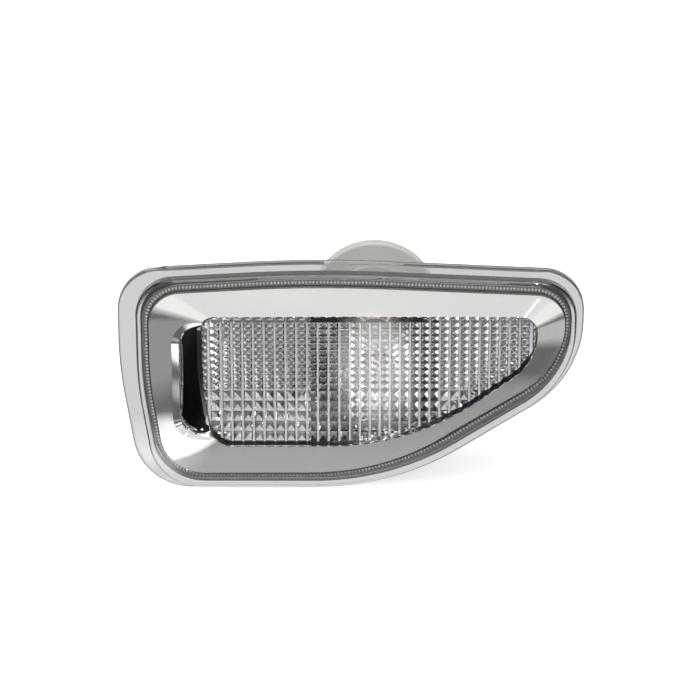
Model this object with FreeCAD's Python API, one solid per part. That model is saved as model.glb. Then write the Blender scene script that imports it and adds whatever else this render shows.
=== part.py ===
import FreeCAD, Part
import math
import os

# Side indicator lamp for a vehicle wing. Millimetres.
# X runs to the right of the lamp face, Z up, the lit face looks along -Y.
# Y = 0 is the back of the clear flange, which lies against the body panel.

# Flange outline: seven corner points (x, z) and the radius at each
flange_corners = (
    (-53.0, 24.9), (-8.0, 27.4), (52.9, 24.7), (52.9, -0.8), (10.1, -28.0), (-48.2, -28.0), (-52.9, 1.6),
)
flange_radii = (10.0, 320.0, 9.5, 25.0, 60.0, 13.5, 90.0)

# Window in the bezel, where the optic shows
window_corners = (
    (-34.2, 14.65), (2.0, 14.8), (42.4, 14.65), (42.4, 3.6), (13.7, -17.0), (-31.9, -17.0), (-34.2, -2.0),
)
window_radii = (3.0, 320.0, 4.5, 15.0, 58.0, 5.5, 60.0)

# Distance from the flange edge to each inner outline: top, right, slope, bottom, lower left, left
dome_foot = (1.8, 1.8, 1.3, 1.2, 3.7, 4.2)
bezel_edge = (5.85, 4.3, 4.6, 3.5, 6.4, 7.0)
body_edge = (7.4, 7.0, 4.8, 5.0, 7.2, 7.7)
dome_share = 0.2
bezel_share = 0.35
body_share = 0.85

# Clear cover
flange_thick = 2.2
flange_round = 0.6
cover_front = -5.4
cover_radius = 6000.0
cover_wall = 1.4
cover_round = 0.8
weld_plane = -1.6
weld_lip = 0.8
notch_width = 18.0
notch_depth = 0.7
notch_x = 3.0

# Prism optic behind the cover
prism_front = -3.5
prism_plate = 2.2
prism_height = 0.85
column_land = 0.5
row_land = 0.2
prism_gap = 0.2
field_left = -54.2
wide_pitch = 2.455
wide_columns = 22
narrow_pitch = 2.27
fine_pitch = 1.65
coarse_pitch = 2.5
fine_rows = 11
coarse_rows = 5
field_top = 14.5
strip_low = 12.86
strip_right = 16.5
skirt_wall = 0.5
left_round = 3.0
right_round = 2.4

# Metallised reflector with its bezel
bezel_foot_front = -2.3
window_front = -3.6
reflector_wall = 1.2
tray_wall = 1.0
tray_floor = 1.5
trough_half = 14.8
trough_depth = 11.0
bulb_hole = 5.6
slot_left = -38.2
slot_right = -31.0
slot_low = -13.0
slot_high = 10.6
slot_corner = 3.0
slot_lip = 3.0
slot_lip_front = -3.7
slot_lip_back = -1.7

# Moulded housing
rim_thick = 1.4
rim_clear = 0.2
body_wall = 1.6
body_draft = 1.0
body_back = 16.2
neck_radius = 9.9
neck_bore = 8.5
collar_front = 33.0
neck_end = 36.0
collar_bore = 7.2
hook_reach = 2.0
hook_low = -1.0
hook_high = 9.0
hook_thick = 2.4
panel_gap = 1.0

# Foam seal ring
seal_inset = 1.3
seal_width = 2.0
seal_proud = 1.0

# Spring clip
clip_thick = 0.5
clip_width = 8.0
clip_low = 6.0
clip_fit = 0.1
clip_front = 1.1
clip_back = 15.0
clip_seat = 3.0
clip_turn = 1.2
clip_bend = 0.6
clip_spread = 2.5
clip_foot = 1.3
clip_wall = 1.2

# Bulb holder, on the lamp axis
axis_x = 5.6
axis_z = 3.0
disc_radius = 15.2
disc_thick = 3.0
disc_round = 0.6
ring_thick = 1.2
ring_outer = 9.9
ring_clear = 0.1
plug_radius = 7.0
plug_gap = 0.4
lug_radius = 8.3
lug_thick = 3.2
lug_clear = 0.4
lug_degrees = 34.0
notch_degrees = 42.0
unlock_degrees = 45.0
socket_width = 15.6
socket_height = 10.6
socket_wall = 1.5
socket_depth = 14.0
catch_rise = 1.2

# Wedge bulb
bulb_radius = 5.0
bulb_tip = 2.5
bulb_length = 26.8
glass_wall = 0.6
wedge_width = 9.5
wedge_thick = 2.1
wedge_length = 7.4
lead_size = 0.4
lead_x = 2.4
filament_y = 10.3
filament_radius = 0.22

# Terminals
strip_width = 4.0
strip_thick = 0.5
strip_fit = 0.1
blade_width = 2.8
blade_thick = 0.8
blade_length = 7.0

os.makedirs("parts", exist_ok=True)
V = FreeCAD.Vector
ALONG = V(0, 1, 0)


def path(corners, radii, moves, y):
    """A closed outline of lines and arcs at depth y, each side moved in by its own distance."""
    count = len(corners)
    lines = []
    for i in range(count):
        x0, z0 = corners[i]
        x1, z1 = corners[(i + 1) % count]
        run = math.hypot(x1 - x0, z1 - z0)
        d = V((x1 - x0) / run, 0, (z1 - z0) / run)
        inward = V(d.z, 0, -d.x)
        lines.append((V(x0, y, z0) + inward * moves[i], d, inward))
    points = []
    turns = []
    for i in range(count):
        p, d, n = lines[i - 1]
        q, e, m = lines[i]
        t = ((q.x - p.x) * e.z - (q.z - p.z) * e.x) / (d.x * e.z - d.z * e.x)
        points.append(p + d * t)
        turns.append(math.tan(math.acos(d.dot(e)) / 2))
    fits = []
    for i in range(count):
        after = (i + 1) % count
        room = points[i].distanceToPoint(points[after])
        fits.append(min(1.0, 0.97 * room / (radii[i] * turns[i] + radii[after] * turns[after])))
    arcs = []
    for i in range(count):
        d, n = lines[i - 1][1:]
        e = lines[i][1]
        radius = radii[i] * min(fits[i - 1], fits[i])
        start = points[i] - d * radius * turns[i]
        centre = start + n * radius
        middle = centre + (points[i] - centre).normalize() * radius
        arcs.append((start, middle, points[i] + e * radius * turns[i]))
    edges = []
    for i in range(count):
        edges.append(Part.Arc(*arcs[i]).toShape())
        edges.append(Part.makeLine(arcs[i][2], arcs[(i + 1) % count][0]))
    return Part.Wire(edges)


def outline(inset, share, y):
    """The flange outline moved in; share is how far its radii have gone to the window's."""
    top, right, slope, bottom, low_left, left = inset
    radii = [a * (1 - share) + b * share for a, b in zip(flange_radii, window_radii)]
    return path(flange_corners, radii, (top, top, right, slope, bottom, low_left, left), y)


def window(inset, y):
    """The window outline moved in by one distance all round."""
    return path(window_corners, window_radii, [inset] * len(window_corners), y)


def window_slab(inset, y0, y1):
    """A straight block with the window outline as its section."""
    return Part.Face(window(inset, y0)).extrude(V(0, y1 - y0, 0))


def more(inset, extra):
    """The same outline moved further in on every side."""
    return tuple(value + extra for value in inset)


def slab(inset, share, y0, y1):
    """A straight block with the outline as its section."""
    return Part.Face(outline(inset, share, y0)).extrude(V(0, y1 - y0, 0))


def skin(first, second):
    """A solid whose sides run straight from one outline to another."""
    return Part.makeLoft([first, second], True, True)


def box(x0, x1, y0, y1, z0, z1):
    return Part.makeBox(x1 - x0, y1 - y0, z1 - z0, V(x0, y0, z0))


def rod(radius, y0, y1):
    """A cylinder on the lamp axis."""
    return Part.makeCylinder(radius, y1 - y0, V(axis_x, y0, axis_z), ALONG)


def axial_box(half_width, y0, y1, low, high, x=0.0):
    """A box measured from the lamp axis."""
    return box(axis_x + x - half_width, axis_x + x + half_width, y0, y1, axis_z + low, axis_z + high)


def sector(radius, y0, y1, middle_degrees, span_degrees):
    """A wedge of a cylinder on the lamp axis, centred on an angle from +X towards +Z."""
    corner = V(axis_x, y0, axis_z)
    points = []
    for step in (-0.5, 0.0, 0.5):
        angle = math.radians(middle_degrees + step * span_degrees)
        points.append(corner + V(math.cos(angle), 0, math.sin(angle)) * radius)
    edges = [Part.makeLine(corner, points[0]), Part.Arc(*points).toShape(), Part.makeLine(points[2], corner)]
    return Part.Face(Part.Wire(edges)).extrude(V(0, y1 - y0, 0))


def turned(points, arc=None):
    """A profile of (radius, y) points turned about the lamp axis.

    arc gives the side that bulges and the point that its curve passes through.
    """
    edges = []
    places = [V(axis_x + r, y, axis_z) for r, y in points]
    for i in range(len(places)):
        a = places[i]
        b = places[(i + 1) % len(places)]
        if arc and arc[0] == i:
            edges.append(Part.Arc(a, V(axis_x + arc[1][0], arc[1][1], axis_z), b).toShape())
        else:
            edges.append(Part.makeLine(a, b))
    return Part.Face(Part.Wire(edges)).revolve(V(axis_x, 0, axis_z), ALONG, 360)


def save(name, shape):
    """One node: its solids, cleaned of seams between faces that lie in one plane."""
    shape = shape.removeSplitter()
    solids = shape.Solids
    result = solids[0] if len(solids) == 1 else Part.makeCompound(solids)
    result.exportStep("parts/" + name + ".step")
    print(name, len(solids), "solids", round(result.Volume / 1000.0, 2), "cm3", result.isValid())


none = (0.0,) * 6

# Clear cover: flange, dome with a crowned front, and the recess that takes the housing rim
flange = slab(none, 0.0, -flange_thick, 0.0)
front_edges = [e for e in flange.Edges if e.BoundBox.YMax < -flange_thick + 0.01]
flange = flange.makeFillet(flange_round, front_edges)
notch_z = max(z for x, z in flange_corners)
notch_left = notch_x - notch_width / 2
notch = box(notch_left, notch_left + notch_width, -flange_thick, 0, notch_z - 1.0, notch_z + 1.0)
flange_top = slab(none, 0.0, -flange_thick - 1, -flange_thick / 2).cut(
    slab((notch_depth,) + none[1:], 0.0, -flange_thick - 1, -flange_thick / 2)
)
flange = flange.cut(flange_top.common(notch))
crown_middle = V(0, cover_front + cover_radius, 0)
crown = Part.makeSphere(cover_radius, crown_middle)
dome = slab(dome_foot, dome_share, cover_front - 1, -flange_thick / 2).common(crown)
rim_edges = [e for e in dome.Edges if e.BoundBox.YMax < cover_front / 2]
dome = dome.makeFillet(cover_round, rim_edges)
hollow = slab(more(dome_foot, cover_wall), dome_share, cover_front, 0.0)
hollow = hollow.common(Part.makeSphere(cover_radius - cover_wall, crown_middle))
recess = slab(more(dome_foot, weld_lip), dome_share, weld_plane, 0.0)
outer_lens = flange.fuse(dome).cut(hollow.fuse(recess))
save("outer_lens", outer_lens)

# Prism optic: a clear cap whose inner face carries rows and columns of small pyramids
prism_base = prism_front + prism_plate
prism_tip = prism_base + prism_height
cap_left = min(x for x, z in flange_corners)
cap_right = max(x for x, z in flange_corners)
cap_low = min(z for x, z in flange_corners)
cap_high = max(z for x, z in flange_corners)


def ridges(starts, pitches, land, to_point, along):
    """A plate with a row of roof ridges on its back.

    to_point places (run, y), and along is the direction of the ridges.
    """
    points = [(starts, prism_front - 1), (starts, prism_base)]
    run = starts
    for pitch in pitches:
        points.append((run + land / 2, prism_base))
        points.append((run + pitch / 2, prism_tip))
        points.append((run + pitch - land / 2, prism_base))
        run += pitch
    points.append((run, prism_base))
    points.append((run, prism_front - 1))
    points.append(points[0])
    return Part.Face(Part.makePolygon([to_point(r, y) for r, y in points])).extrude(along)


narrow_left = field_left + wide_pitch * wide_columns
narrow_columns = int((cap_right - narrow_left) / narrow_pitch) + 1
columns = [wide_pitch] * wide_columns + [narrow_pitch] * narrow_columns
upward = V(0, 0, cap_high - cap_low)
sideways = V(cap_right - cap_left, 0, 0)
column_ridges = ridges(field_left, columns, column_land, lambda r, y: V(r, y, cap_low), upward)
rows = [coarse_pitch] * coarse_rows + [fine_pitch] * fine_rows
field_low = field_top - sum(rows)
row_ridges = ridges(field_low, rows, row_land, lambda r, y: V(cap_left, y, r), sideways)
field = column_ridges.common(row_ridges)
field = field.cut(box(cap_left, strip_right, prism_base, tray_floor, strip_low, cap_high))
strip = box(cap_left, cap_right, prism_front - 1, prism_base, cap_low, field_low)
strip = strip.fuse(box(cap_left, cap_right, prism_front - 1, prism_base, field_top, cap_high))
inside = window_slab(prism_gap + skirt_wall, prism_base - 0.5, tray_floor)
inside = inside.cut(field).cut(strip)
cap = window_slab(prism_gap, prism_front, tray_floor)
cap_box = cap.BoundBox
plan = box(cap_box.XMin, cap_box.XMax, prism_front, tray_floor, cap_box.ZMin, cap_box.ZMax)
front_edges = [e for e in plan.Edges if e.BoundBox.YMax < prism_front + 0.01]
plan = plan.makeFillet(left_round, [e for e in front_edges if e.BoundBox.XMax < cap_box.XMin + 0.01])
front_edges = [e for e in plan.Edges if e.BoundBox.YMax < prism_front + 0.01]
plan = plan.makeFillet(right_round, [e for e in front_edges if e.BoundBox.XMin > cap_box.XMax - 0.01])
prism_lens = cap.common(plan).cut(inside)
save("prism_lens", prism_lens)

# Reflector: sloped bezel, tray behind the optic, trough round the bulb, open slot at the left
bezel = slab(bezel_edge, bezel_share, bezel_foot_front, weld_plane)
face = skin(outline(bezel_edge, bezel_share, bezel_foot_front), window(0.0, window_front))
under = skin(
    outline(more(bezel_edge, reflector_wall), bezel_share, weld_plane),
    window(0.0, window_front + 1.3 * reflector_wall),
)
tray = window_slab(-tray_wall, window_front + reflector_wall, tray_floor + reflector_wall)


def trough(extra, inset):
    """The curved hollow behind the optic, grown by a wall thickness, as tall as the tray."""
    half = trough_half + extra
    deep = tray_floor + trough_depth + extra
    left = V(axis_x - half, tray_floor, cap_low)
    right = V(axis_x + half, tray_floor, cap_low)
    bow = Part.Arc(left, V(axis_x, deep, cap_low), right).toShape()
    hollow = Part.Face(Part.Wire([bow, Part.makeLine(right, left)])).extrude(upward)
    return hollow.common(window_slab(inset, tray_floor - 1, deep + 1))


def slot_block(extra, y0, y1):
    """The open slot beside the optic, with round corners."""
    block = box(slot_left - extra, slot_right + extra, y0, y1, slot_low - extra, slot_high + extra)
    return block.makeFillet(slot_corner + extra, [e for e in block.Edges if e.BoundBox.YLength > 1])


def front_wire(block):
    """The outline of a block's foremost face."""
    return min(block.Faces, key=lambda f: f.BoundBox.YMax).OuterWire


slot = slot_block(0.0, slot_lip_back, tray_floor)
lip_middle = slot_block(slot_lip / 3, (2 * slot_lip_front + slot_lip_back) / 3, tray_floor)
lip_outer = slot_block(slot_lip, slot_lip_front, tray_floor)
lip = Part.makeLoft([front_wire(lip_outer), front_wire(lip_middle), front_wire(slot)], True, False)
reflector = bezel.fuse(face).cut(under).fuse([tray, trough(reflector_wall, -tray_wall)])
reflector = reflector.cut(window_slab(0.0, cover_front, tray_floor))
reflector = reflector.cut(trough(0.0, 0.0)).cut(slot.fuse(lip))
reflector = reflector.cut(rod(bulb_hole, tray_floor, body_back))
save("reflector", reflector)

# Housing: welding rim, drafted chamber, round neck with a bayonet collar, hook and clip pocket
rim_back = weld_plane + rim_thick
rim = slab(more(dome_foot, weld_lip + rim_clear), dome_share, weld_plane, rim_back)
chamber = skin(
    outline(body_edge, body_share, weld_plane),
    outline(more(body_edge, body_draft), body_share, body_back),
)
chamber_space = skin(
    outline(more(body_edge, body_wall), body_share, weld_plane),
    outline(more(body_edge, body_wall + body_draft), body_share, body_back - body_wall),
)
neck = rod(neck_radius, body_back - body_wall, neck_end)
bore = rod(neck_bore, body_back - 2 * body_wall, collar_front)
bore = bore.fuse(rod(collar_bore, collar_front - 1, neck_end))
for start in (-unlock_degrees, 180 - unlock_degrees):
    bore = bore.fuse(sector(neck_bore, collar_front - 1, neck_end, start, notch_degrees))
left_wall = cap_left + body_edge[5]
hook_tip = left_wall - hook_reach
hook = box(hook_tip, left_wall + body_wall, panel_gap, panel_gap + hook_thick, hook_low, hook_high)
tip_edges = [e for e in hook.Edges if e.BoundBox.XMax < hook_tip + 0.01 and e.BoundBox.ZLength > 1]
hook = hook.makeChamfer(hook_thick / 2.5, [e for e in tip_edges if e.BoundBox.YMin > panel_gap + 0.01])
right_wall = cap_right - body_edge[1]
clip_x = right_wall - clip_thick / 2
clip_high = clip_low + clip_width
clip_inner = clip_x - clip_fit
clip_outer = clip_x + clip_thick + clip_fit
clip_block = box(
    clip_inner - clip_wall - body_draft / 2, clip_outer + clip_wall,
    clip_front + clip_seat - clip_fit - clip_wall, clip_back,
    clip_low - clip_wall, clip_high + clip_wall,
)
clip_slot = box(
    clip_inner, clip_outer, clip_front + clip_seat - clip_fit, clip_back,
    clip_low - clip_fit, clip_high + clip_fit,
)
housing = rim.fuse([chamber, neck, hook]).cut(chamber_space.fuse(bore))
housing = housing.fuse(clip_block).cut(clip_slot)
save("housing", housing)

# Foam ring between the housing rim and the panel
seal = slab(more(dome_foot, seal_inset), dome_share, rim_back, seal_proud)
seal = seal.cut(slab(more(dome_foot, seal_inset + seal_width), body_share, rim_back, seal_proud))
save("panel_seal", seal)

# Spring clip: one leg in the housing pocket, the other bent out to bear on the panel edge
def ribbon(points, thick, z0, z1):
    """A strip of sheet bent along (x, y) points, thickened to one side."""
    sides = []
    for i in range(len(points) - 1):
        run = V(points[i + 1][0] - points[i][0], points[i + 1][1] - points[i][1], 0).normalize()
        sides.append(V(-run.y, run.x, 0))
    first = [V(x, y, z0) for x, y in points]
    second = [first[0] + sides[0] * thick]
    for i in range(1, len(points) - 1):
        half = (sides[i - 1] + sides[i]).normalize()
        second.append(first[i] + half * (thick / half.dot(sides[i])))
    second.append(first[-1] + sides[-1] * thick)
    loop = first + second[::-1] + first[:1]
    return Part.Face(Part.makePolygon(loop)).extrude(V(0, 0, z1 - z0))


clip_near = clip_x + clip_thick
clip_path = [
    (clip_near, clip_front + clip_seat),
    (clip_near, clip_back + clip_turn - clip_bend),
    (clip_near + clip_bend / 2, clip_back + clip_turn),
    (clip_near + 3 * clip_bend / 2, clip_back + clip_turn),
    (clip_near + 5 * clip_bend / 2, clip_back + clip_turn - clip_bend),
    (clip_near + clip_spread, clip_front + clip_seat),
    (clip_near + clip_foot, clip_front),
]
save("retaining_clip", ribbon(clip_path, clip_thick, clip_low, clip_high))

# Bulb holder: sealing disc, plug with two bayonet lugs, wedge slot, and the connector socket behind
bulb_end = bulb_tip + bulb_length
plug_front = bulb_end - wedge_length - plug_gap
disc_front = neck_end + ring_thick
disc_back = disc_front + disc_thick
disc = rod(disc_radius, disc_front, disc_back)
disc = disc.makeFillet(disc_round, [e for e in disc.Edges if e.Closed])
holder = disc.fuse(rod(plug_radius, plug_front, disc_front + 1))
lug_back = collar_front - lug_clear
for middle in (0, 180):
    lug = sector(lug_radius, lug_back - lug_thick, lug_back, middle, lug_degrees)
    holder = holder.fuse(lug)
socket_back = disc_back + socket_depth
shell = axial_box(socket_width / 2, disc_back - 1, socket_back, -socket_height / 2, socket_height / 2)
shell = shell.makeFillet(1.5, [e for e in shell.Edges if e.BoundBox.YLength > 1])
mouth_half = socket_width / 2 - socket_wall
mouth_rise = socket_height / 2 - socket_wall
mouth = axial_box(mouth_half, disc_back, socket_back, -mouth_rise, mouth_rise)
mouth = mouth.makeFillet(0.6, [e for e in mouth.Edges if e.BoundBox.YLength > 1])
catch_top = socket_height / 2 + catch_rise
catch = axial_box(2.5, disc_back + socket_depth / 2, socket_back - 1.5, socket_height / 2 - 0.2, catch_top)
catch_edges = [e for e in catch.Edges if e.BoundBox.ZMin > axis_z + catch_top - 0.01]
catch = catch.makeChamfer(0.8 * catch_rise, [e for e in catch_edges if e.BoundBox.YMin > socket_back - 1.51])
holder = holder.fuse([shell, catch]).cut(mouth)
slot_back = bulb_end + 0.3
strip_near = wedge_thick / 2 + lead_size
slot_rise = strip_near + strip_thick + strip_fit
wedge_slot = axial_box(wedge_width / 2 + 0.25, plug_front, slot_back, -slot_rise, slot_rise)
holder = holder.cut(wedge_slot)
step_front = disc_back - 2.0


def terminal(side, fit):
    """A contact strip on one face of the bulb's wedge, stepped back to a blade in the socket."""
    place = -side * lead_x
    near = strip_near - fit
    far = strip_near + strip_thick + fit
    low = min(side * near, side * far)
    high = max(side * near, side * far)
    front = plug_front + 0.8 - fit
    strip = axial_box(strip_width / 2 + fit, front, step_front + 0.8 + fit, low, high, place)
    blade_half = blade_thick / 2 + fit
    step_low = min(-blade_half, low)
    step_high = max(blade_half, high)
    half = blade_width / 2 + fit
    step = axial_box(half, step_front - fit, step_front + 0.8 + fit, step_low, step_high, place)
    blade = axial_box(half, step_front, disc_back + blade_length, -blade_half, blade_half, place)
    return strip.fuse([step, blade])


for side in (1, -1):
    holder = holder.cut(terminal(side, strip_fit).common(rod(disc_radius, slot_back - 1, disc_back)))
    rear_way = terminal(side, strip_fit).BoundBox
    holder = holder.cut(
        box(rear_way.XMin, rear_way.XMax, step_front - strip_fit, disc_back, rear_way.ZMin, rear_way.ZMax)
    )
save("bulb_holder", holder)
save("feed_terminal", terminal(1, 0.0))
save("earth_terminal", terminal(-1, 0.0))

# Rubber ring squeezed between the disc and the end of the neck
ring = rod(ring_outer, neck_end, disc_front).cut(rod(plug_radius + ring_clear, neck_end, disc_front))
save("holder_seal", ring)

# Wedge bulb: hollow glass with a flat pinched foot, two lead wires and a coiled filament
pinch_front = bulb_end - wedge_length
straight = pinch_front - 3.0
shoulder = bulb_tip + bulb_radius


def envelope(shrink, back):
    """The bulb's round body, drawn in by a wall thickness, closed at back."""
    radius = bulb_radius - shrink
    tip = bulb_tip + shrink
    middle = (radius * math.sqrt(0.5), shoulder - radius * math.sqrt(0.5))
    corners = [(0, tip), (radius, shoulder), (radius, straight), (1.0, back), (0, back)]
    return turned(corners, (0, middle))


glass = envelope(0.0, pinch_front + 0.5)
foot = axial_box(wedge_width / 2, straight + 1.0, bulb_end, -wedge_thick / 2, wedge_thick / 2)
glass = glass.fuse(foot).cut(envelope(glass_wall, pinch_front - 1.2))
leads = []
for side in (1, -1):
    place = -side * lead_x
    half = lead_size / 2
    post = axial_box(half, filament_y - half, bulb_end, -half, half, place)
    outside = side * (wedge_thick / 2 + lead_size)
    across = axial_box(
        half, bulb_end - lead_size, bulb_end, min(-half, outside), max(half, outside), place
    )
    near = side * wedge_thick / 2
    back_run = axial_box(half, pinch_front + 1.0, bulb_end, min(near, outside), max(near, outside), place)
    leads.append(post.fuse([across, back_run]))
glass = glass.cut(leads[0]).cut(leads[1])
save("bulb_glass", glass)
coil_start = V(axis_x - lead_x + lead_size / 2, filament_y, axis_z)
coil = Part.makeCylinder(filament_radius, 2 * lead_x - lead_size, coil_start, V(1, 0, 0))
save("bulb_leads", Part.makeCompound(leads))
save("bulb_filament", coil)
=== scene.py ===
# %% [markdown]
# # A clear side indicator lamp
# This lesson dresses a small vehicle lamp: a clear acrylic cover, an optic full of little prisms, a
# mirror-bright bezel and a grey bulb holder that peeps out above it. Every solid comes from the packed
# model, so the lesson starts by loading it and noting the box that it fills.

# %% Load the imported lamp
import math
import bpy
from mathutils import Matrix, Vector
from mathutils.geometry import convex_hull_2d


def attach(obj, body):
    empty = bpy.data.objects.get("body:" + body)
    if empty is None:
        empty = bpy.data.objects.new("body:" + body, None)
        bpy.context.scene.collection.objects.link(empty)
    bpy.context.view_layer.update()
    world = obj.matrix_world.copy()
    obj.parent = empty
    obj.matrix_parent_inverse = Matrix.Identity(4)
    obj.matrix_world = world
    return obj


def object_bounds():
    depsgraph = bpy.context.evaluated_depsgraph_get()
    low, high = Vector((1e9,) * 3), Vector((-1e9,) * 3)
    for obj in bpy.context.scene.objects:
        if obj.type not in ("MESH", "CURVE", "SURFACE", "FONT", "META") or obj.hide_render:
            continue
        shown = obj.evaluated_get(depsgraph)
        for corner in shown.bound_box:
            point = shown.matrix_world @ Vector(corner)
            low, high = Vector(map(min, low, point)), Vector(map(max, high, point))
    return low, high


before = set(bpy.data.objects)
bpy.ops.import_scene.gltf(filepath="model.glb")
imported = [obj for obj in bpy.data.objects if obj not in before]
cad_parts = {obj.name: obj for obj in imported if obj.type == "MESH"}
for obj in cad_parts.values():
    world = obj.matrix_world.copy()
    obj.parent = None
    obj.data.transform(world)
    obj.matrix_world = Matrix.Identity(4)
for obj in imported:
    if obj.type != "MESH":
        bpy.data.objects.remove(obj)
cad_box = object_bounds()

MM = 0.001
print("nodes:", sorted(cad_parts))

# %% [markdown]
# ## One step on one line
# A shader is a tree of small nodes. Written out node by node and link by link, the idea gets lost. So
# these helpers add one node, feed its inputs with links or plain values, and give back its result. A
# chain of nodes then reads like a sum.

# %% Helpers for shader nodes
def feed(tree, sockets, values):
    """Links inputs to the results of other nodes, or sets them to plain values."""
    for socket, value in zip(sockets, values):
        if isinstance(value, bpy.types.NodeSocket):
            tree.links.new(value, socket)
        else:
            socket.default_value = value


def calc(tree, operation, *terms):
    """The result of a Math node."""
    step = tree.nodes.new("ShaderNodeMath")
    step.operation = operation
    feed(tree, step.inputs, terms)
    return step.outputs["Value"]


def vector_calc(tree, operation, *terms):
    """The result of a Vector Math node."""
    step = tree.nodes.new("ShaderNodeVectorMath")
    step.operation = operation
    feed(tree, step.inputs, terms)
    return step.outputs["Value" if operation in ("LENGTH", "DOT_PRODUCT") else "Vector"]


def mixed(tree, mask, first, second, blend="MIX"):
    """Two colours mixed, with the second one where the mask is 1."""
    mix = tree.nodes.new("ShaderNodeMix")
    mix.data_type = "RGBA"
    mix.blend_type = blend
    feed(tree, [mix.inputs[name] for name in ("Factor", "A", "B")], (mask, first, second))
    return mix.outputs["Result"]


def place_of(tree, kind="Object"):
    """Where a point lies, or with kind Normal the way its face looks."""
    return tree.nodes.new("ShaderNodeTexCoord").outputs[kind]


def parts_of(tree, vector):
    """The X, Y and Z of a vector."""
    split = tree.nodes.new("ShaderNodeSeparateXYZ")
    tree.links.new(vector, split.inputs["Vector"])
    return split.outputs


# %% [markdown]
# ## Materials from a few nodes
# No real surface has one even colour. A mould leaves faint flow marks, and handling leaves a slight
# haze. Each finish here is one Principled shader whose colour and roughness drift a little with a
# Noise texture on Object coordinates, so the drift stays put when the lamp is seen from another side.

# %% A helper for moulded and metal finishes
def finish_of(name, colour, roughness, drift=0.06, grain=220.0, metallic=0.0, rough_drift=0.04):
    """A Principled material whose colour and roughness vary softly over the piece."""
    material = bpy.data.materials.new(name)
    material.use_nodes = True
    tree = material.node_tree
    shader = tree.nodes["Principled BSDF"]
    shader.inputs["Metallic"].default_value = metallic
    shader.inputs["Roughness"].default_value = roughness
    noise = tree.nodes.new("ShaderNodeTexNoise")
    noise.inputs["Scale"].default_value = grain
    noise.inputs["Detail"].default_value = 3.0
    tree.links.new(place_of(tree), noise.inputs["Vector"])
    darker = [c * (1 - drift) for c in colour] + [1.0]
    lighter = [min(1.0, c * (1 + drift)) for c in colour] + [1.0]
    tree.links.new(mixed(tree, noise.outputs["Fac"], darker, lighter), shader.inputs["Base Color"])
    if rough_drift:
        rough = tree.nodes.new("ShaderNodeMapRange")
        rough.inputs["To Min"].default_value = max(0.0, roughness - rough_drift)
        rough.inputs["To Max"].default_value = roughness + rough_drift
        tree.links.new(noise.outputs["Fac"], rough.inputs["Value"])
        tree.links.new(rough.outputs["Result"], shader.inputs["Roughness"])
    return material


# %% [markdown]
# ## Finishes without a pattern
# Behind the lamp sit the parts that the photograph shows least. The holder is the pale grey of undyed
# glass-filled plastic, a little rough from its mould. The ring under the rim is black foam, cut from a
# sheet. The clip is spring steel with a yellowish passivation, and the contacts are stamped brass.

# %% Plain finishes
foam_black = finish_of("black_foam", (0.02, 0.02, 0.02), 0.9, grain=900.0)
clip_steel = finish_of("passivated_steel", (0.6, 0.55, 0.42), 0.3, metallic=1.0)
holder_plastic = finish_of("pale_grey_holder", (0.5, 0.505, 0.475), 0.5)
seal_rubber = finish_of("grey_rubber", (0.42, 0.42, 0.4), 0.6)
contact_brass = finish_of("stamped_brass", (0.8, 0.62, 0.3), 0.25, metallic=1.0)
nickel_wire = finish_of("nickel_wire", (0.6, 0.59, 0.56), 0.25, metallic=1.0)
tungsten = finish_of("tungsten_coil", (0.35, 0.35, 0.36), 0.4, metallic=1.0)
print("plain finishes made")

# %% [markdown]
# ## Clear plastic and glass
# Acrylic bends light by 1.49. Left to itself a path tracer finds lamps through glass only by luck, so
# shadow rays pass straight through: a Light Path node swaps the shader for a Transparent one there. The
# bulb is amber glass with a silvery coat, as some indicator bulbs have so that they don't look orange
# when they are off. That coat is a share of metal in the shader.

# %% A helper for clear pieces, and the bulb
ACRYLIC_IOR = 1.49
BULB_IOR = 1.5
SILVER_SHARE = 0.75


def either(tree, mask, first, second):
    """A shader that is the second one where the mask is 1, and else the first."""
    mix = tree.nodes.new("ShaderNodeMixShader")
    feed(tree, mix.inputs, (mask, first, second))
    return mix.outputs["Shader"]


def clear_of(name, colour, ior, metallic=0.0):
    """See-through plastic or glass that lets the lamps light what lies behind it."""
    material = finish_of(name, colour, 0.0, drift=0.012, grain=60.0, metallic=metallic, rough_drift=0.0)
    tree = material.node_tree
    shader = tree.nodes["Principled BSDF"]
    shader.inputs["IOR"].default_value = ior
    shader.inputs["Transmission Weight"].default_value = 1.0
    path = tree.nodes.new("ShaderNodeLightPath")
    through = tree.nodes.new("ShaderNodeBsdfTransparent")
    through.inputs["Color"].default_value = [*colour, 1.0]
    whole = either(tree, path.outputs["Is Shadow Ray"], shader.outputs["BSDF"], through.outputs["BSDF"])
    tree.links.new(whole, tree.nodes["Material Output"].inputs["Surface"])
    return material


bulb_amber = clear_of("amber_bulb", (0.98, 0.8, 0.48), BULB_IOR, metallic=SILVER_SHARE)
print("bulb glass made")

# %% [markdown]
# ## The mirror film
# The bezel is a plastic moulding with a film of aluminium, laid on in a vacuum, where the metal travels
# in straight lines. Deep in the trough round the bulb the film is painted dark on the steep sides, as
# painted shade in that recess. One colour is mixed into another by a mask, which here is a set of greys
# along the depth.

# %% Greys along a value, and the film
def graded(tree, value, stops):
    """Greys along a value, from (value, grey) pairs."""
    first = stops[0][0]
    last = stops[-1][0]
    run = tree.nodes.new("ShaderNodeMapRange")
    feed(tree, [run.inputs[name] for name in ("Value", "From Min", "From Max")], (value, first, last))
    ramp = tree.nodes.new("ShaderNodeValToRGB")
    band = ramp.color_ramp.elements
    while len(band) < len(stops):
        band.new(0.5)
    for element, (place, grey) in zip(band, stops):
        element.position = (place - first) / (last - first)
        element.color = (grey, grey, grey, 1.0)
    tree.links.new(run.outputs["Result"], ramp.inputs["Fac"])
    return ramp.outputs["Color"]


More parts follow.
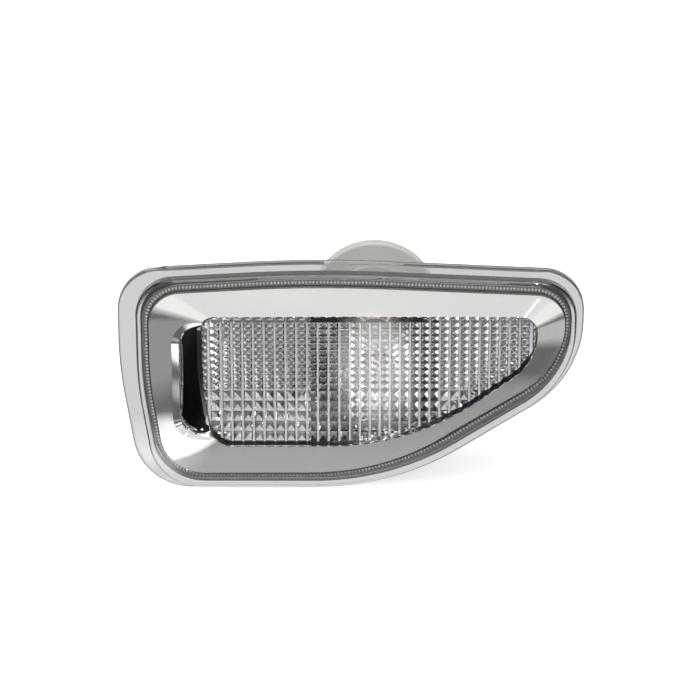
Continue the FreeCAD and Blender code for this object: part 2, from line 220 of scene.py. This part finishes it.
def depth_mask(tree, stops):
    """Greys along the depth behind the flange."""
    return graded(tree, parts_of(tree, place_of(tree))["Y"], stops)


def mix_in(material, mask, colour):
    """Mixes a colour into a material's base colour where the mask is 1."""
    tree = material.node_tree
    base = tree.nodes["Principled BSDF"].inputs["Base Color"]
    plain = base.links[0].from_socket
    tree.links.new(mixed(tree, mask, plain, [*colour, 1.0]), base)


# Painted shade deep in the trough: the depths and greys of the mask, and the dark colour.
TROUGH_SHADE_DEPTHS = [(3.0 * MM, 0.0), (5.0 * MM, 1.0), (8.5 * MM, 1.0), (10.5 * MM, 0.3)]
TROUGH_SHADE_COLOUR = (0.04, 0.034, 0.028)

metal_film = finish_of(
    "metallised_film", (0.87, 0.87, 0.85), 0.05, drift=0.015, grain=90.0, metallic=1.0, rough_drift=0.02
)
# Painted shade: the film turns dark deep in the trough round the bulb.
mix_in(metal_film, depth_mask(metal_film.node_tree, TROUGH_SHADE_DEPTHS), TROUGH_SHADE_COLOUR)
print("mirror film made")

# %% [markdown]
# ## A rolled lip
# At its left end the bezel rolls softly into an open slot, and the roll mirrors a bright line. It is
# shallow, so a Bump node gives it: the height falls with the distance to the slot's rounded outline.

# %% The roll at the slot
def roll_to_slot(material, middle, half, corner, width, drop):
    """Bends the shading down towards a slot with round corners, in the XZ plane."""
    tree = material.node_tree
    away = vector_calc(tree, "SUBTRACT", place_of(tree), (middle[0], 0.0, middle[1]))
    flat = vector_calc(tree, "MULTIPLY", away, (1.0, 0.0, 1.0))
    aside = vector_calc(tree, "ABSOLUTE", flat)
    past = vector_calc(tree, "SUBTRACT", aside, (half[0] - corner, 0.0, half[1] - corner))
    outside = vector_calc(tree, "MAXIMUM", past, (0.0, 0.0, 0.0))
    fall = tree.nodes.new("ShaderNodeMapRange")
    fall.inputs["From Min"].default_value = corner
    fall.inputs["From Max"].default_value = corner + width
    tree.links.new(vector_calc(tree, "LENGTH", outside), fall.inputs["Value"])
    bend = tree.nodes.new("ShaderNodeBump")
    bend.inputs["Distance"].default_value = drop
    tree.links.new(fall.outputs["Result"], bend.inputs["Height"])
    tree.links.new(bend.outputs["Normal"], tree.nodes["Principled BSDF"].inputs["Normal"])


roll_to_slot(
    metal_film, middle=(-34.6 * MM, -1.2 * MM), half=(3.6 * MM, 11.8 * MM),
    corner=3.0 * MM, width=2.6 * MM, drop=1.0 * MM,
)
print("slot lip rolled")

# %% [markdown]
# ## The grey body
# The body is a box of grey plastic, welded to the cover at its rim. Its front edge is painted darker,
# as painted shade under the cover, and shows through the cover as a darker line. The hollow behind the
# slot is painted almost black, as painted shade, since light hardly gets in. The hollow is told by its
# faces: they look back towards the middle of the piece.

# %% The body and its hollow
def hollow_shade_mask(tree, middle, half_width):
    """Is 1 on faces that look back at the middle and lie nearer to it than half a width."""
    away = vector_calc(tree, "SUBTRACT", place_of(tree), middle)
    facing = vector_calc(tree, "DOT_PRODUCT", away, place_of(tree, "Normal"))
    inward = calc(tree, "LESS_THAN", facing, 0.0)
    aside = calc(tree, "ABSOLUTE", parts_of(tree, away)["X"])
    near = calc(tree, "LESS_THAN", aside, half_width)
    return calc(tree, "MULTIPLY", inward, near)


# Painted shade: the rim's front face is darker than the rest of the body.
RIM_SHADE_DEPTHS = [(-1.0 * MM, 1.0), (-0.5 * MM, 0.0)]
RIM_SHADE_COLOUR = (0.17, 0.175, 0.16)
# Painted shade: the faces of the hollow are painted almost black.
HOLLOW_MIDDLE = (-2.5 * MM, -1.0 * MM, 0.0)
HOLLOW_HALF_WIDTH = 42.4 * MM
HOLLOW_SHADE_COLOUR = (0.012, 0.012, 0.012)

body_plastic = finish_of("grey_body", (0.3, 0.305, 0.285), 0.45)
tree = body_plastic.node_tree
mix_in(body_plastic, depth_mask(tree, RIM_SHADE_DEPTHS), RIM_SHADE_COLOUR)
mix_in(body_plastic, hollow_shade_mask(tree, HOLLOW_MIDDLE, HOLLOW_HALF_WIDTH), HOLLOW_SHADE_COLOUR)
print("body plastic made")

# %% [markdown]
# ## Painted shade at the edges of clear plastic
# A clear moulding looks darker at its edges, because light that enters there runs along inside the
# wall and comes out somewhere else. Here that darkness is painted shade in the cover's tint. The
# object-space normal tells walls and rounded edges, which face sideways, from the faces that look
# forward. The flange's flat side stays paler than its round edge.

# %% The cover and its edges
def edge_shade_mask(tree, dome_stops, flange_stops, flange_front, blur):
    """Painted edge shade: greys along how far a face looks forward, one set for the dome and one for
    the flange.
    """
    facing = calc(tree, "ABSOLUTE", parts_of(tree, place_of(tree, "Normal"))["Y"])
    on_flange = depth_mask(tree, [(flange_front - blur, 0.0), (flange_front, 1.0)])
    return mixed(tree, on_flange, graded(tree, facing, dome_stops), graded(tree, facing, flange_stops))


# Painted shade: greys that darken the cover's walls and rounded edges.
DOME_EDGE_SHADE = [(0.0, 1.0), (0.65, 1.0), (0.92, 0.0)]
FLANGE_EDGE_SHADE = [(0.0, 0.35), (0.2, 0.35), (0.4, 1.0), (0.85, 1.0), (0.98, 0.0)]
FLANGE_FRONT = -2.21 * MM
FLANGE_BLUR = 0.2 * MM
EDGE_SHADE_COLOUR = (0.1, 0.11, 0.1)

cover_plastic = clear_of("clear_cover", (0.955, 0.962, 0.955), ACRYLIC_IOR)
edges = edge_shade_mask(cover_plastic.node_tree, DOME_EDGE_SHADE, FLANGE_EDGE_SHADE, FLANGE_FRONT, FLANGE_BLUR)
mix_in(cover_plastic, edges, EDGE_SHADE_COLOUR)
print("cover plastic made")

# %% [markdown]
# ## Painted highlights along the grooves of the optic
# The prisms stand in columns, and the grooves between the columns are painted matt white, as painted
# highlights, so they read as fine white lines. Ping-pong gives the distance to the nearest groove, with
# one pitch on each side of the column where the pitch changes, and the clear shader turns white there.
# A smooth strip along the top of the optic has no grooves.

# %% The optic and its grooves
GROOVE_FADE = 1.3
GROOVE_BLUR = 0.05 * MM
GROOVE_HIGHLIGHT_COLOUR = (0.9, 0.89, 0.91)


def paint_groove_highlights(
    material, start, left_pitch, right_pitch, half_width, prism_base, strip_low, strip_end
):
    """Paints highlights: makes a clear material matt white along upright grooves at the foot of its
    prisms.
    """
    tree = material.node_tree
    place = parts_of(tree, place_of(tree))
    along = calc(tree, "SUBTRACT", place["X"], start)
    on_right = calc(tree, "GREATER_THAN", along, 0.0)
    half_pitch = calc(tree, "MULTIPLY_ADD", on_right, (right_pitch - left_pitch) / 2, left_pitch / 2)
    away = calc(tree, "PINGPONG", along, half_pitch)
    line = graded(tree, away, [(half_width, 1.0), (GROOVE_FADE * half_width, 0.0)])
    base_stops = [(-2, 0.0), (-1, 1.0), (1, 1.0), (2, 0.0)]
    at_base = depth_mask(tree, [(prism_base + k * GROOVE_BLUR, grey) for k, grey in base_stops])
    below = graded(tree, place["Z"], [(strip_low - GROOVE_BLUR, 1.0), (strip_low, 0.0)])
    beyond = graded(tree, place["X"], [(strip_end, 0.0), (strip_end + GROOVE_BLUR, 1.0)])
    off_strip = calc(tree, "MAXIMUM", below, beyond)
    mask = calc(tree, "MULTIPLY", line, calc(tree, "MULTIPLY", at_base, off_strip))
    # Painted highlight: the grooves turn matt white.
    mix_in(material, mask, GROOVE_HIGHLIGHT_COLOUR)
    weight = tree.nodes["Principled BSDF"].inputs["Transmission Weight"]
    tree.links.new(calc(tree, "SUBTRACT", 1.0, mask), weight)


optic_plastic = clear_of("clear_optic", (0.962, 0.95, 0.975), ACRYLIC_IOR)
paint_groove_highlights(
    optic_plastic, start=-0.19 * MM, left_pitch=2.455 * MM, right_pitch=2.27 * MM, half_width=0.2 * MM,
    prism_base=-1.3 * MM, strip_low=12.86 * MM, strip_end=16.5 * MM,
)
print("optic plastic made")

# %% [markdown]
# ## One finish for each piece
# The colours follow the photograph where it shows the piece. The solids keep their shape and place, and
# only take a new material.

# %% Give every node its finish
finishes = {
    "outer_lens": cover_plastic,
    "prism_lens": optic_plastic,
    "reflector": metal_film,
    "housing": body_plastic,
    "panel_seal": foam_black,
    "retaining_clip": clip_steel,
    "bulb_holder": holder_plastic,
    "holder_seal": seal_rubber,
    "feed_terminal": contact_brass,
    "earth_terminal": contact_brass,
    "bulb_glass": bulb_amber,
    "bulb_leads": nickel_wire,
    "bulb_filament": tungsten,
}
for node, material in finishes.items():
    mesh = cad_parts[node].data
    mesh.materials.clear()
    mesh.materials.append(material)
print("finishes given:", len(finishes))

# %% [markdown]
# ## The weld rib
# The cover is welded to the grey body along a narrow rib round the bezel. The rib is pressed with fine
# cross grooves, and through the cover they read as a row of small light teeth: the teeth are real
# shape, and their colour, paler than the body's, is a painted highlight. The row runs at a set share of
# the way from the bezel's edge to the cover's inner wall. Both edges are read from the meshes, so the
# teeth follow when the model changes.

# %% Two paths between two edges
def points_at(node, level, within):
    """The points of a node's mesh close to one depth."""
    return [v.co.copy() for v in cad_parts[node].data.vertices if abs(v.co.y - level) < within]


def round_outside(points):
    """The outermost of some points, in order round the lamp."""
    return [points[i] for i in convex_hull_2d([(c.x, c.z) for c in points])]


def finer(points, step):
    """The same closed loop with no gap longer than a step."""
    result = []
    for i, here in enumerate(points):
        ahead = points[(i + 1) % len(points)]
        parts = max(1, math.ceil((ahead - here).length / step))
        result += [here.lerp(ahead, k / parts) for k in range(parts)]
    return result


RIM_LEVEL = -1.6 * MM
BEZEL_LEVEL, BEZEL_BAND, BEZEL_STEP = -2.3 * MM, 0.02 * MM, 1.0 * MM
WALL_LEVEL, WALL_BAND, WALL_STEP = -3.9 * MM, 0.3 * MM, 0.5 * MM
RIB_SHARE = 0.44
# The next share places the path of the bead that paints the gap shadow.
GAP_SHADOW_SHARE = 0.14

bezel_loop = finer(round_outside(points_at("reflector", BEZEL_LEVEL, BEZEL_BAND)), BEZEL_STEP)
wall_loop = finer(round_outside(points_at("outer_lens", WALL_LEVEL, WALL_BAND)), WALL_STEP)
rib_path = []
gap_shadow_path = []
for point in bezel_loop:
    near = min(wall_loop, key=lambda c: (c.x - point.x) ** 2 + (c.z - point.z) ** 2)
    across = Vector((near.x - point.x, 0.0, near.z - point.z))
    start = Vector((point.x, RIM_LEVEL, point.z))
    rib_path.append(start + across * RIB_SHARE)
    gap_shadow_path.append(start + across * GAP_SHADOW_SHARE)
print("rib path points:", len(rib_path))

# %% [markdown]
# ## Growing a mesh along a path
# Geometry Nodes make what repeats. A tree gets a curve and a few named inputs, and ends in Realize
# Instances and Set Material. The inputs are set by their socket identifiers before the tree is first
# evaluated, and the result is kept as a plain mesh.

# %% Helpers for node trees along a curve
def new_tree(name, inputs):
    """An empty node tree with its named inputs, and the node that gives them."""
    tree = bpy.data.node_groups.new(name, "GeometryNodeTree")
    tree.is_modifier = True
    for label, kind in inputs:
        tree.interface.new_socket(label, in_out="INPUT", socket_type="NodeSocket" + kind)
    tree.interface.new_socket("Geometry", in_out="OUTPUT", socket_type="NodeSocketGeometry")
    return tree, tree.nodes.new("NodeGroupInput")


def painted(tree, given, shape):
    """Ends a tree: instances become real, and take the given finish."""
    real = tree.nodes.new("GeometryNodeRealizeInstances")
    paint = tree.nodes.new("GeometryNodeSetMaterial")
    out = tree.nodes.new("NodeGroupOutput")
    tree.links.new(shape, real.inputs["Geometry"])
    tree.links.new(real.outputs["Geometry"], paint.inputs["Geometry"])
    tree.links.new(given.outputs["Finish"], paint.inputs["Material"])
    tree.links.new(paint.outputs["Geometry"], out.inputs["Geometry"])


def curve_of(name, points):
    """A closed straight-sided curve through some points."""
    data = bpy.data.curves.new(name, "CURVE")
    data.dimensions = "3D"
    spline = data.splines.new("POLY")
    spline.points.add(len(points) - 1)
    for slot, point in zip(spline.points, points):
        slot.co = (point.x, point.y, point.z, 1.0)
    spline.use_cyclic_u = True
    holder = bpy.data.objects.new(name, data)
    bpy.context.scene.collection.objects.link(holder)
    return holder


def grown(holder, tree, values, name):
    """The plain mesh object that a node tree makes from a curve, with its inputs set by name."""
    modifier = holder.modifiers.new("grow", "NODES")
    modifier.node_group = tree
    for item in tree.interface.items_tree:
        if item.in_out == "INPUT" and item.name in values:
            modifier[item.identifier] = values[item.name]
    seen = holder.evaluated_get(bpy.context.evaluated_depsgraph_get())
    mesh = bpy.data.meshes.new_from_object(seen)
    mesh.name = name
    bpy.data.objects.remove(holder)
    made = bpy.data.objects.new(name, mesh)
    bpy.context.scene.collection.objects.link(made)
    return made


# %% [markdown]
# The teeth are blunt pyramids. The path is cut into equal steps, and each step gets one pyramid whose
# point looks forward and whose sides follow the path.

# %% Teeth along the rib
TOOTH_SIDES = 4
TOOTH_TOP = 0.35
TOOTH_FOOT = 0.7
TOOTH_PITCH = 0.8 * MM
TOOTH_SIZE = (0.45 * MM, 0.6 * MM, 0.3 * MM)


def teeth_tree():
    """A node tree that stands blunt pyramids along a curve."""
    inputs = [("Geometry", "Geometry"), ("Pitch", "Float"), ("Tooth", "Vector"), ("Finish", "Material")]
    tree, given = new_tree("teeth_along_path", inputs)
    nodes = tree.nodes
    links = tree.links
    cut = nodes.new("GeometryNodeResampleCurve")
    cut.mode = "LENGTH"
    links.new(given.outputs["Geometry"], cut.inputs["Curve"])
    links.new(given.outputs["Pitch"], cut.inputs["Length"])
    tooth = nodes.new("GeometryNodeMeshCone")
    tooth.inputs["Vertices"].default_value = TOOTH_SIDES
    tooth.inputs["Radius Top"].default_value = TOOTH_TOP
    tooth.inputs["Radius Bottom"].default_value = TOOTH_FOOT
    tooth.inputs["Depth"].default_value = 1.0
    turn = nodes.new("FunctionNodeAxesToRotation")
    turn.primary_axis = "Z"
    turn.secondary_axis = "X"
    turn.inputs["Primary Axis"].default_value = (0, -1, 0)
    tangent = nodes.new("GeometryNodeInputTangent")
    links.new(tangent.outputs["Tangent"], turn.inputs["Secondary Axis"])
    stand = nodes.new("GeometryNodeInstanceOnPoints")
    links.new(cut.outputs["Curve"], stand.inputs["Points"])
    links.new(tooth.outputs["Mesh"], stand.inputs["Instance"])
    links.new(turn.outputs["Rotation"], stand.inputs["Rotation"])
    links.new(given.outputs["Tooth"], stand.inputs["Scale"])
    painted(tree, given, stand.outputs["Instances"])
    return tree


# Painted highlight: the teeth are paler than the grey body they belong to.
rib_highlight_paint = finish_of("rib_painted_highlight", (0.62, 0.63, 0.6), 0.4, grain=400.0)
values = {"Pitch": TOOTH_PITCH, "Tooth": TOOTH_SIZE, "Finish": rib_highlight_paint}
weld_teeth = grown(curve_of("rib_curve", rib_path), teeth_tree(), values, "weld_teeth")
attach(weld_teeth, "lamp")
print("teeth faces:", len(weld_teeth.data.polygons))

# %% [markdown]
# Between the teeth and the bezel runs a dark line, the shadow in the gap where the rib's edge meets the
# film, and it is painted by a thin black bead half sunk in the rib: a circle swept along a path a
# little outside the bezel.

# %% A bead along the seam
BEAD_SIDES = 8
BEAD_RADIUS = 0.16 * MM


def bead_tree():
    """A node tree that sweeps a small circle along a curve."""
    inputs = [("Geometry", "Geometry"), ("Radius", "Float"), ("Finish", "Material")]
    tree, given = new_tree("bead_along_path", inputs)
    ring = tree.nodes.new("GeometryNodeCurvePrimitiveCircle")
    ring.inputs["Resolution"].default_value = BEAD_SIDES
    tree.links.new(given.outputs["Radius"], ring.inputs["Radius"])
    sweep = tree.nodes.new("GeometryNodeCurveToMesh")
    tree.links.new(given.outputs["Geometry"], sweep.inputs["Curve"])
    tree.links.new(ring.outputs["Curve"], sweep.inputs["Profile Curve"])
    painted(tree, given, sweep.outputs["Mesh"])
    return tree


# Painted shadow: a black bead where the gap between rib and bezel lies in shade.
gap_shadow_black = finish_of("painted_gap_shadow", (0.02, 0.022, 0.02), 0.5, grain=400.0)
values = {"Radius": BEAD_RADIUS, "Finish": gap_shadow_black}
gap_shadow_bead = grown(curve_of("gap_shadow_curve", gap_shadow_path), bead_tree(), values, "gap_shadow_bead")
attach(gap_shadow_bead, "lamp")
print("seam faces:", len(gap_shadow_bead.data.polygons))

# %% [markdown]
# ## The table
# The lamp stands on a white table, a hair below its lowest point. A plane with a dull, nearly even
# finish is enough, and it keeps the lamp's soft shadow.

# %% Table
TABLE_SIZE = 6.0
TABLE_GAP = 0.2 * MM

floor_level = cad_box[0][2] - TABLE_GAP
bpy.ops.mesh.primitive_plane_add(size=TABLE_SIZE, location=(0, 0, floor_level))
floor = bpy.context.object
floor.name = "table"
table_white = finish_of("table_white", (0.82, 0.82, 0.82), 0.9, drift=0.005, grain=4.0)
floor.data.materials.append(table_white)
print("table at", round(floor_level / MM, 1), "mm")

# %% [markdown]
# ## What the mirror sees on the table
# A mirror shows the room, so the bezel is only as good as what lies round it. A photographer lays grey
# and white cards in front of a shiny product, and this table has them too, for rays by way of metal or
# clear pieces. It is grey near the lamp, darker ahead and white far off, and soft oval cards make it
# brighter or darker. Each card has the place of its middle, its half size and its strength.

# %% Cards on the table
CARD_INNER = 0.7
CARD_OUTER = 1.2


def card_on_table(tree, place, middle, half, strength):
    """A soft oval card that multiplies the table's grey, in millimetres."""
    away = vector_calc(tree, "SUBTRACT", place, (middle[0], middle[1], 0.0))
    share = vector_calc(tree, "MULTIPLY", away, (1 / half[0], 1 / half[1], 0.0))
    return graded(tree, vector_calc(tree, "LENGTH", share), [(CARD_INNER, strength), (CARD_OUTER, 1.0)])


def mirror_rays(tree, path):
    """Is 1 for rays that come by way of a mirror or a clear piece."""
    return calc(tree, "MAXIMUM", path.outputs["Is Glossy Ray"], path.outputs["Is Transmission Ray"])


BEHIND_GREY = 0.68
FRONT_GREYS = [
    (0, 0.5), (-12, 0.5), (-22, 0.42), (-34, 0.17), (-150, 0.17), (-220, 1.15), (-400, 1.15),
]
CARDS = [
    ((-68, -108), (14, 66), 2.2),
    ((-40.5, -72), (4.6, 40), 0.15),
    ((92, -110), (24, 46), 3.8),
    ((36, -85), (14, 45), 0.5),
    ((6, -86), (10, 38), 13.0),
    ((-50, -29), (14, 14), 7.5),
    ((-9, -52), (8, 12), 4.0),
]

tree = table_white.node_tree
on_table = vector_calc(tree, "MULTIPLY", place_of(tree), (1 / MM, 1 / MM, 1 / MM))
depth = parts_of(tree, on_table)["Y"]
ahead = graded(tree, depth, FRONT_GREYS)
for middle, half, strength in CARDS:
    card = card_on_table(tree, on_table, middle, half, strength)
    ahead = mixed(tree, 1.0, ahead, card, "MULTIPLY")
behind = calc(tree, "GREATER_THAN", depth, 0.0)
reflected = mixed(tree, behind, ahead, (BEHIND_GREY, BEHIND_GREY, BEHIND_GREY, 1.0))
print("cards on the table:", len(CARDS))

# %% [markdown]
# Three looks of the table come together. Plain rays see it as the lamps light it. Rays from the camera
# see a little glow on top, so that it is white but for the shadow. Rays by way of metal or clear pieces
# see the cards.

# %% Join the looks of the table
CAMERA_GLOW = 0.55

plain = tree.nodes["Principled BSDF"].outputs["BSDF"]
glow = tree.nodes.new("ShaderNodeEmission")
glow.inputs["Strength"].default_value = CAMERA_GLOW
lit = tree.nodes.new("ShaderNodeAddShader")
feed(tree, lit.inputs, (plain, glow.outputs["Emission"]))
cards = tree.nodes.new("ShaderNodeEmission")
tree.links.new(reflected, cards.inputs["Color"])
path = tree.nodes.new("ShaderNodeLightPath")
seen = either(tree, path.outputs["Is Camera Ray"], plain, lit.outputs["Shader"])
whole = either(tree, mirror_rays(tree, path), seen, cards.outputs["Emission"])
tree.links.new(whole, tree.nodes["Material Output"].inputs["Surface"])
print("table looks joined")

# %% [markdown]
# ## The walls
# The world gives an even light to plain surfaces, and the camera sees it white. Mirrors and clear
# pieces see walls instead: bright up to a fair height, darker above, and darker bands towards the left
# and right, so that facets differ from one another.

# %% World
WALL_GREYS = [(-0.2, 1.15), (0.28, 1.0), (0.38, 0.55), (0.64, 0.35), (0.82, 0.5), (1.0, 0.5)]
SIDE_GREYS = [(-1.0, 0.6), (-0.7, 0.45), (-0.45, 0.95), (0.45, 0.95), (0.7, 0.45), (1.0, 0.6)]
ROOM_COLOUR = (0.97, 0.98, 1.0, 1.0)
ROOM_LIGHT = 0.5

world = bpy.data.worlds.new("studio")
bpy.context.scene.world = world
world.use_nodes = True
tree = world.node_tree
direction = parts_of(tree, place_of(tree, "Generated"))
wall = graded(tree, direction["Z"], WALL_GREYS)
sides = graded(tree, direction["X"], SIDE_GREYS)
walls = tree.nodes.new("ShaderNodeBackground")
tree.links.new(mixed(tree, 1.0, wall, sides, "MULTIPLY"), walls.inputs["Color"])
path = tree.nodes.new("ShaderNodeLightPath")
room = tree.nodes["Background"]
room.inputs["Color"].default_value = ROOM_COLOUR
level = calc(tree, "MULTIPLY_ADD", path.outputs["Is Camera Ray"], 1.0 - ROOM_LIGHT, ROOM_LIGHT)
tree.links.new(level, room.inputs["Strength"])
whole = either(tree, mirror_rays(tree, path), room.outputs["Background"], walls.outputs["Background"])
tree.links.new(whole, tree.nodes["World Output"].inputs["Surface"])
print("world:", world.name)

# %% [markdown]
# ## Soft boxes
# A large soft box overhead lights the top of the holder, a weaker one stands at the left, and a weak
# narrow strip stands ahead at the right. All three look at the lamp.

# %% Lamps
def soft_box(name, place, size, power):
    """An area lamp turned to look at the origin."""
    light = bpy.data.lights.new(name, "AREA")
    light.shape = "RECTANGLE"
    light.size, light.size_y = size
    light.energy = power
    holder = bpy.data.objects.new(name, light)
    holder.location = place
    holder.rotation_euler = (-Vector(place)).to_track_quat("-Z", "Y").to_euler()
    bpy.context.scene.collection.objects.link(holder)
    print("soft box:", name, power, "W")


soft_box("overhead", place=(0.0, -0.25, 0.75), size=(0.9, 0.7), power=5.0)
soft_box("left", place=(-0.8, -0.5, 0.35), size=(0.5, 0.6), power=2.5)
soft_box("strip", place=(0.2, -0.6, 0.42), size=(0.06, 0.4), power=1.0)

# %% [markdown]
# ## The camera
# The photograph looks down on the lamp by about 21 degrees with a long lens. The width that the frame
# covers at the flange and the height of its middle above the lamp's middle set the lens and the aim.

# %% Camera
LOOK_DOWN = math.radians(20.8)
CAMERA_DISTANCE = 0.75
FRAME_WIDTH = 159.9 * MM
LAMP_MIDDLE = Vector((-0.2 * MM, -2.2 * MM, 0.0))
AIM_ABOVE = 5.6 * MM

up = Vector((0, math.sin(LOOK_DOWN), math.cos(LOOK_DOWN)))
back = Vector((0, -math.cos(LOOK_DOWN), math.sin(LOOK_DOWN)))
aim = LAMP_MIDDLE + up * AIM_ABOVE
lens = bpy.data.cameras.new("camera")
lens.lens = lens.sensor_width * CAMERA_DISTANCE / FRAME_WIDTH
camera = bpy.data.objects.new("camera", lens)
camera.location = aim + back * CAMERA_DISTANCE
camera.rotation_euler = (-back).to_track_quat("-Z", "Y").to_euler()
bpy.context.scene.collection.objects.link(camera)
bpy.context.scene.camera = camera
bpy.context.scene.view_settings.view_transform = "Standard"
print("lens:", round(lens.lens), "mm")
